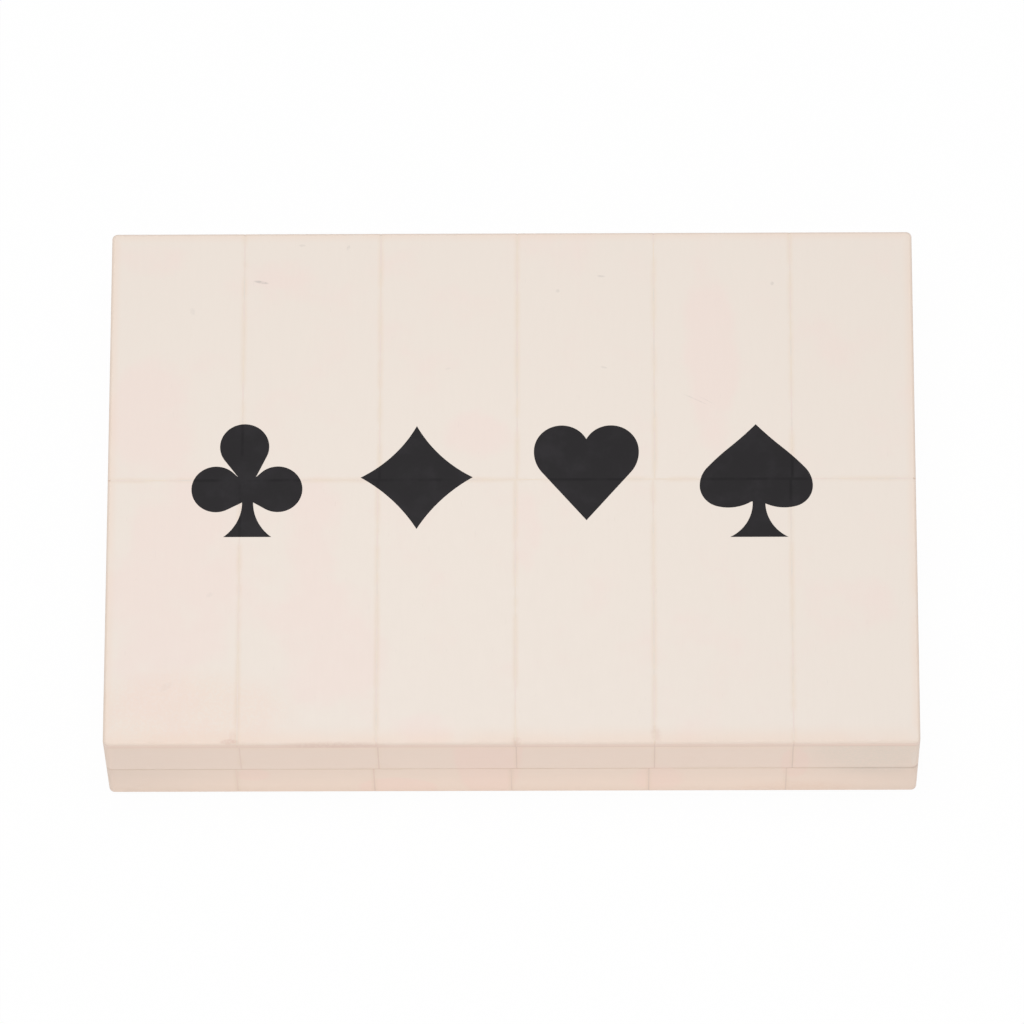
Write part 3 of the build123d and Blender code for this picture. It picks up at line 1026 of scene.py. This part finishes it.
@dataclass
class TileSkin:
    """Bone tiles round one half of the box, rounded where the half has an outer edge."""

    half: Half
    upright: Material
    resin: Material
    arris_radius: float
    corner_radius: float = 1.3 * MM
    rim_radius: float = 0.22 * MM
    joint_ease: float = 0.02 * MM
    resin_recess: float = 0.006 * MM
    seam_closing: float = 0.07 * MM
    leaf_thickness: float = 0.9 * MM
    leaf_fit: float = 0.05 * MM
    cutter_reach: float = 1.0 * MM
    margin: float = 0.1 * MM
    skin: Corners = field(init=False)
    rim: float = field(init=False)
    arris: float = field(init=False)

    def __post_init__(self) -> None:
        """Reads the skin's corners and levels from the frame."""
        self.skin = self.half.skin
        self.rim, self.arris = self.half.levels

    def shows(self, face: Face) -> bool:
        """Says whether a face is on the skin's outside, by the ways that lead out from near it.

        Args:
            face: The face.

        Returns:
            True if it faces such a way.
        """
        centre = face.calc_center_median()
        ways = Vector()
        for axis, radius in enumerate((self.corner_radius, self.corner_radius, self.arris_radius)):
            near = radius + self.margin
            ways[axis] = (centre[axis] > self.skin[1][axis] - near) - (centre[axis] < self.skin[0][axis] + near)
        return ways.dot(face.normal) > FACING

    def is_corner(self, edge: Edge) -> bool:
        """Says whether an edge is an upright outer corner."""
        upright = all(self.shows(face) and abs(face.normal.z) < 0.5 for face in edge.link_faces)
        return upright and edge.calc_face_angle() > SHARP

    def is_round(self, edge: Edge, level: float) -> bool:
        """Says whether an edge runs round the outside at one level."""
        return at_level(edge, level) and all(self.shows(face) for face in edge.link_faces)

    def is_joint(self, edge: Edge) -> bool:
        """Says whether an edge lies between a face that shows and one in a joint."""
        return sum(self.shows(face) for face in edge.link_faces) == 1

    def rounded(self, name: str, corners: Corners) -> Workpiece:
        """Makes a block with the skin's rounding on the edges that show.

        Args:
            name: Its name.
            corners: Its lowest and highest corner.

        Returns:
            The block.
        """
        made = Workpiece.block(name, *corners)
        rim = corners[0].z if self.half is Half.LID else corners[1].z
        made.round_edges(self.is_corner, self.corner_radius, segments=10)
        made.round_edges(lambda edge: self.is_round(edge, self.arris), self.arris_radius, segments=8)
        made.round_edges(lambda edge: self.is_round(edge, rim), self.rim_radius, segments=4)
        return made

    def tile(self, name: str, corners: Corners) -> Workpiece:
        """Makes one tile, its joint edges eased.

        Args:
            name: Its name.
            corners: Its lowest and highest corner.

        Returns:
            The tile.
        """
        made = self.rounded(name, corners)
        made.round_edges(self.is_joint, self.joint_ease, segments=2)
        return made

    def filler(self) -> None:
        """Makes the resin between the tiles, a touch below their faces."""
        node = f"{self.half.value}_joint_filler"
        made = Workpiece.copy_of(f"{node}_resin", node)
        form = self.rounded("form", self.skin)
        low, high = self.skin
        with form.editing(whole=True):
            shrink = [1 - 2 * self.resin_recess / length for length in high - low]
            bpy.ops.transform.resize(value=shrink, center_override=(low + high) / 2)
        made.carve(form, Keep.INSIDE)
        made.smooth()
        made.hand_over(self.half, node, "joint_resin", self.resin)

    def leaf_seats(self) -> list[Corners]:
        """Finds the recesses that the hinge leaves lie in.

        Returns:
            Each one's lowest and highest corner.
        """
        into = self.half.into
        bottom, top = sorted((self.rim - into * self.cutter_reach, self.rim + into * self.leaf_thickness))
        seats = []
        for side in ("left", "right"):
            low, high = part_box(f"{side}_hinge_{self.half.value}_leaf")
            seat_low = Vector((low.x - self.leaf_fit, low.y - self.leaf_fit, bottom))
            seats.append((seat_low, Vector((high.x + self.leaf_fit, high.y + self.cutter_reach, top))))
        return seats

    def closed(self, corners: Corners) -> Corners:
        """Lengthens a tile towards the seam, where the two halves of the real box all but touch.

        Args:
            corners: The tile's corners in the frame.

        Returns:
            Its corners as made here.
        """
        low, high = corners[0].copy(), corners[1].copy()
        (low if self.half is Half.LID else high).z -= self.half.into * self.seam_closing
        return low, high

    def face(self, side: str) -> None:
        """Makes the tiles of one upright face.

        Args:
            side: front, back, left or right.
        """
        node = f"{self.half.value}_{side}_tiles"
        tiles = []
        for number, corners in enumerate(map(self.closed, islands(node)), start=1):
            tile = self.tile(f"{node}_{number}", corners)
            for seat in self.leaf_seats() if side == "back" else []:
                if overlap(corners, seat):
                    tile.carve(Workpiece.block("seat", *seat))
            tile.mark_tile(*corners)
            tiles.append(tile)
        tiles[0].join(tiles[1:])
        tiles[0].thing.name = f"{node}_bone"
        tiles[0].smooth()
        tiles[0].hand_over(self.half, node, "bone", self.upright)

    def build(self) -> None:
        """Makes the tiles of all four upright faces and the resin between them."""
        for side in SIDES:
            self.face(side)
        self.filler()


@dataclass
class LidTop:
    """The lid's two rows of top tiles, with the suits let into them."""

    skin: TileSkin
    bone: Material
    rows: tuple[str, str] = ("back", "front")
    columns: int = 6
    suits: tuple[str, ...] = ("club_inlay", "diamond_inlay", "heart_inlay", "spade_inlay")

    def joints(self, row: str) -> tuple[float, ...]:
        """The X of a row's upright joints in millimetres, from left to right."""
        boxes = [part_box(f"top_tile_{row}_{column}") for column in range(1, self.columns + 1)]
        return tuple((left[1].x + right[0].x) / 2 / MM for left, right in zip(boxes, boxes[1:]))

    def row_joint(self) -> float:
        """The Y of the joint between the two rows, in millimetres."""
        return (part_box("top_tile_back_1")[0].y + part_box("top_tile_front_1")[1].y) / 2 / MM

    def pocket(self, suit: str) -> Workpiece:
        """A cutter of a suit's outline that reaches out of the lid's top.

        Args:
            suit: The inlay's node.

        Returns:
            The cutter.
        """
        cutter = Workpiece.copy_of("pocket", suit)
        with cutter.editing() as mesh:
            cutter.pick(mesh, Part.FACE, lambda face: abs(face.calc_center_median().z - self.skin.arris) < TOUCH)
            bpy.ops.transform.translate(value=(0.0, 0.0, self.skin.cutter_reach))
        return cutter

    def build(self) -> None:
        """Makes every top tile and cuts the pockets of the suits that reach it."""
        for node in (f"top_tile_{row}_{column}" for row in self.rows for column in range(1, self.columns + 1)):
            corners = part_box(node)
            tile = self.skin.tile(f"{node}_bone", corners)
            for suit in self.suits:
                if overlap(corners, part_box(suit)):
                    tile.carve(self.pocket(suit))
            tile.mark_tile(*corners)
            tile.smooth()
            tile.hand_over(Half.LID, node, "bone", self.bone)


@dataclass
class Carcass:
    """Wooden rails, panels and dividers, their rims eased on the inside."""

    along_x: Material
    along_y: Material
    ease: float = 0.4 * MM
    least_rim: float = 20.0 * MM

    def is_inner_rim(self, edge: Edge, rim: float) -> bool:
        """Says whether an edge is the long one between the rim and the inner wall.

        Args:
            edge: The edge.
            rim: The rim's Z.

        Returns:
            True if it is.
        """
        at = (edge.verts[0].co + edge.verts[1].co) / 2
        outward = Vector((at.x, at.y, 0.0)).normalized()
        inward = any(face.normal.dot(outward) < -FACING for face in edge.link_faces)
        return at_level(edge, rim) and inward and edge.calc_length() > self.least_rim

    def build(self) -> None:
        """Makes the rails and dresses the panels and dividers."""
        for half in Half:
            rim, _ = half.levels
            for side in SIDES:
                node = f"{half.value}_{side}_rail"
                made = Workpiece.copy_of(f"{node}_wood", node)
                made.round_edges(lambda edge: self.is_inner_rim(edge, rim), self.ease, segments=3)
                made.smooth()
                made.hand_over(half, node, "wood", self.along_x if side in ("front", "back") else self.along_y)
        dress(["lid_panel", "base_floor_panel"], self.along_x)
        dress(["left_divider", "right_divider"], self.along_y)


@dataclass
class FeltWork:
    """Felt linings of the wells and the lid, and the pad under the base."""

    finish: Material
    edge_radius: float = 0.35 * MM
    pad_corner: float = 4.0 * MM
    patch: float = 3.0 * MM
    nap: float = 0.03 * MM

    def sheet(self, node: str, half: Half, corner: float = 0.0) -> None:
        """Makes one sheet of felt, its upper face ruffled a little between its edges.

        Args:
            node: The CAD node that it stands for.
            half: The body that it moves with.
            corner: Radius of its corners in plan.
        """
        low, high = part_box(node)
        made = Workpiece.block(f"{node}_felt", low, high)
        if corner:
            made.round_edges(lambda edge: not at_level(edge, edge.verts[0].co.z), corner, segments=8)
        self._grid(made, low, high)
        made.round_edges(lambda edge: edge.calc_face_angle() > SHARP, self.edge_radius, segments=3)
        with made.editing() as mesh:
            top = high.z - TOUCH
            made.pick(mesh, Part.FACE, lambda face: face.normal.z > 0.9 and face.calc_center_median().z > top)
            bpy.ops.transform.translate(value=(0.0, 0.0, -self.nap))
            bpy.ops.transform.vertex_random(offset=self.nap, uniform=0.0, normal=1.0, seed=len(made.thing.name))
        made.smooth(60.0)
        felt = made.hand_over(half, node, "black_felt", self.finish)

    def _grid(self, made: Workpiece, low: Vector, high: Vector) -> None:
        """Cuts a sheet into patches along X and Y.

        Args:
            made: The sheet.
            low: Its lowest corner.
            high: Its highest corner.
        """
        for axis in (0, 1):
            count = round((high[axis] - low[axis]) / self.patch)
            normal = Vector((axis == 0, axis == 1, 0.0))
            for step in range(1, count):
                place = low.copy()
                place[axis] += (high[axis] - low[axis]) * step / count
                with made.editing(whole=True):
                    bpy.ops.mesh.bisect(plane_co=place, plane_no=normal)

    def build(self) -> None:
        """Makes every sheet."""
        for node in ("left_card_lining", "dice_lining", "right_card_lining"):
            self.sheet(node, Half.BASE)
        self.sheet("lid_lining", Half.LID)
        self.sheet("base_felt_pad", Half.BASE, self.pad_corner)


@dataclass
class HingeScrews:
    """Slotted countersunk screws that hold one leaf of each hinge."""

    half: Half
    finish: Material
    head_radius: float = 1.5 * MM
    shank_radius: float = 0.8 * MM
    head_depth: float = 0.9 * MM
    slot_width: float = 0.42 * MM
    slot_depth: float = 0.4 * MM
    tip_share: float = 0.2
    tip_size: float = 0.25
    rim_ease: float = 0.14 * MM
    sides: int = 40
    turns: tuple[float, ...] = (14.0, 78.0, -35.0, 52.0)

    def screw(self, name: str, low: Vector, high: Vector) -> Workpiece:
        """Makes the first screw, with its driver's slot along X.

        Args:
            name: Its name.
            low: The lowest corner of its CAD solid.
            high: The highest corner.

        Returns:
            The screw.
        """
        into = self.half.into
        top = low.z if self.half is Half.LID else high.z
        face = Vector(((low.x + high.x) / 2, (low.y + high.y) / 2, top))
        centre = face + Vector((0.0, 0.0, into * self.head_depth / 2))
        made = Workpiece.rod(name, centre, self.head_radius, self.head_depth, self.sides)
        neck = self.shank_radius / self.head_radius
        with made.editing() as mesh:
            made.pick(mesh, Part.FACE, lambda plane: plane.normal.z * into > 0.5)
            bpy.ops.transform.resize(value=(neck, neck, 1.0), center_override=centre)
            for share in (1 - self.tip_share, self.tip_share):
                step = (0.0, 0.0, into * (high.z - low.z - self.head_depth) * share)
                bpy.ops.mesh.extrude_region_move(TRANSFORM_OT_translate={"value": step})
            bpy.ops.transform.resize(value=(self.tip_size, self.tip_size, 1.0), center_override=centre)
        made.round_edges(lambda edge: at_level(edge, top), self.rim_ease, segments=2)
        blade = Vector((self.head_radius * 2, self.slot_width, self.slot_depth * 2)) / 2
        made.carve(Workpiece.block("blade", face - blade, face + blade))
        return made

    def build(self) -> None:
        """Makes one screw, copies it to the other places and turns each copy."""
        node = f"{self.half.value}_hinge_screws"
        places = islands(node)
        first = self.screw(f"{node}_slotted", *places[0])
        copies = [first.copied(f"{node}_{number}") for number in range(2, len(places) + 1)]
        for screw, (low, _), turn in zip([first] + copies, places, self.turns):
            with screw.editing(whole=True):
                centre = (places[0][0] + places[0][1]) / 2
                bpy.ops.transform.rotate(value=math.radians(turn), orient_axis="Z", center_override=centre)
                bpy.ops.transform.translate(value=low - places[0][0])
        first.join(copies)
        first.smooth()
        first.hand_over(self.half, node, "brass", self.finish)


@dataclass
class Studio:
    """White floor, soft light from above and the photograph's camera."""

    lens: float = 313.273
    sensor: float = 36.0
    camera_place: tuple[float, float, float] = (19.302, -797.877, 1968.663)
    camera_tilt: tuple[float, float, float] = (-22.227, -0.5258, 0.1781)
    reach: float = 20.0
    world_level: float = 0.54
    floor_size: float = 6.0
    floor_share: float = 0.972

    def camera(self) -> None:
        """Makes the camera where the photograph's was."""
        data = bpy.data.cameras.new("camera")
        data.lens = self.lens
        data.sensor_width = self.sensor
        data.sensor_fit = "HORIZONTAL"
        data.clip_end = self.reach
        camera = bpy.data.objects.new("camera", data)
        bpy.context.scene.collection.objects.link(camera)
        turns = {axis: Matrix.Rotation(math.radians(angle), 3, axis) for axis, angle in zip("XYZ", self.camera_tilt)}
        to_camera = turns["Z"] @ turns["Y"] @ turns["X"]
        camera.matrix_world = Matrix.Translation(Vector(self.camera_place) * MM) @ to_camera.transposed().to_4x4()
        bpy.context.scene.camera = camera

    def world(self) -> None:
        """Even light from all round, white to the camera and through clear pieces."""
        world = bpy.data.worlds.new("studio")
        world.use_nodes = True
        bpy.context.scene.world = world
        tree = world.node_tree
        path, seen, level = (tree.nodes.new(f"ShaderNode{kind}") for kind in ("LightPath", "Math", "MapRange"))
        seen.operation = "MAXIMUM"
        tree.links.new(path.outputs["Is Camera Ray"], seen.inputs[0])
        tree.links.new(path.outputs["Is Transmission Ray"], seen.inputs[1])
        level.inputs["To Min"].default_value = self.world_level
        level.inputs["To Max"].default_value = 1.0
        tree.links.new(seen.outputs[0], level.inputs["Value"])
        background = tree.nodes["Background"]
        tree.links.new(level.outputs["Result"], background.inputs["Strength"])
        background.inputs["Color"].default_value = (1.0, 1.0, 1.0, 1.0)

    def floor(self) -> None:
        """White floor: bright to the camera, with the object's soft shadow kept."""
        bpy.ops.object.select_all(action="DESELECT")
        bpy.ops.mesh.primitive_plane_add(size=self.floor_size)
        floor = bpy.context.active_object
        floor.name = "floor"
        paint = Painter("floor_white")
        paint.finish(base_color=(0.97, 0.97, 0.97), roughness=0.9, specular_ior_level=0.1)
        glow = paint.node("ShaderNodeEmission", {}, {"Color": (1.0, 1.0, 1.0), "Strength": 1.0})
        path = paint.node("ShaderNodeLightPath", {}, {})
        camera, glossy, through = (
            Signal(paint, path.outputs[f"Is {ray} Ray"]) for ray in ("Camera", "Glossy", "Transmission")
        )
        share = camera.higher(glossy).higher(through) * self.floor_share
        inputs = {0: share, 1: paint.shader.outputs["BSDF"], 2: glow.outputs["Emission"]}
        mixed = paint.node("ShaderNodeMixShader", {}, inputs)
        paint.tree.links.new(mixed.outputs["Shader"], paint.output.inputs["Surface"])
        floor.data.materials.append(paint.material)

    def lamp(self, name: str, place: tuple[float, float, float], size: float, watts: float) -> None:
        """Adds a softbox that faces the object.

        Args:
            name: Its name.
            place: Where it hangs.
            size: Its side.
            watts: Its power.
        """
        data = bpy.data.lights.new(name, "AREA")
        data.shape = "SQUARE"
        data.size = size
        data.energy = watts
        lamp = bpy.data.objects.new(name, data)
        bpy.context.scene.collection.objects.link(lamp)
        lamp.location = place
        lamp.rotation_euler = (-Vector(place)).to_track_quat("-Z", "Y").to_euler()

    def build(self) -> None:
        """Makes the whole studio."""
        self.camera()
        self.world()
        self.floor()
        self.lamp("overhead", (-0.05, 0.03, 0.83), size=0.4, watts=2.6)
        self.lamp("front_fill", (0.3, -1.8, 0.6), size=1.2, watts=6.2)
        bpy.context.scene.view_settings.view_transform = "Standard"


def main() -> None:
    """Builds the object and its studio, piece by piece."""
    Studio().build()
    top_bone = BoneFinish(
        "bone_top", (0.862, 0.772, 0.694), Grain.ALONG_Y, Half.LID, TOP_MARKS, side=(0.85, 0.66, 0.56), front_edge_shade=0.011
    )
    lid_bone = BoneFinish(
        "bone_lid_face", (0.855, 0.687, 0.579), Grain.ALONG_X, Half.LID, FRONT_MARKS, raggedness=1.2, end_drop=0.025
    )
    # Painted light: the base's bone colour is a lighter copy of the lid's face colour. With the painted shade below the
    # seam, the base's face comes out lighter towards the floor.
    base_bone = BoneFinish(
        "bone_base_face", (0.93, 0.744, 0.62), Grain.ALONG_X, Half.BASE, FRONT_MARKS, raggedness=1.2, end_drop=0.07
    )
    lid_resin = JointFinish("joint_resin_lid", (0.815, 0.63, 0.53))
    # Painted light: the base's resin colour is likewise a lighter copy of the lid's.
    base_resin = JointFinish("joint_resin_base", (0.862, 0.665, 0.555))
    lid_skin = TileSkin(Half.LID, lid_bone.material(), lid_resin.material(), arris_radius=0.65 * MM)
    lid_skin.build()
    TileSkin(Half.BASE, base_bone.material(), base_resin.material(), arris_radius=0.25 * MM).build()
    top = LidTop(lid_skin, top_bone.material())
    top.build()
    suit = SuitFinish(top.joints("back"), top.joints("front"), top.row_joint())
    dress(list(top.suits), suit.material())
    wood_x = WoodFinish("wood_along_x", Grain.ALONG_X).material()
    wood_y = WoodFinish("wood_along_y", Grain.ALONG_Y).material()
    Carcass(wood_x, wood_y).build()
    FeltWork(FeltFinish().material()).build()
    brass = BrassFinish().material()
    for half in Half:
        HingeScrews(half, brass).build()
    for side in ("left", "right"):
        dress([f"{side}_hinge_base_leaf", f"{side}_hinge_lid_leaf", f"{side}_hinge_pin"], brass)


if __name__ == "__main__":
    main()
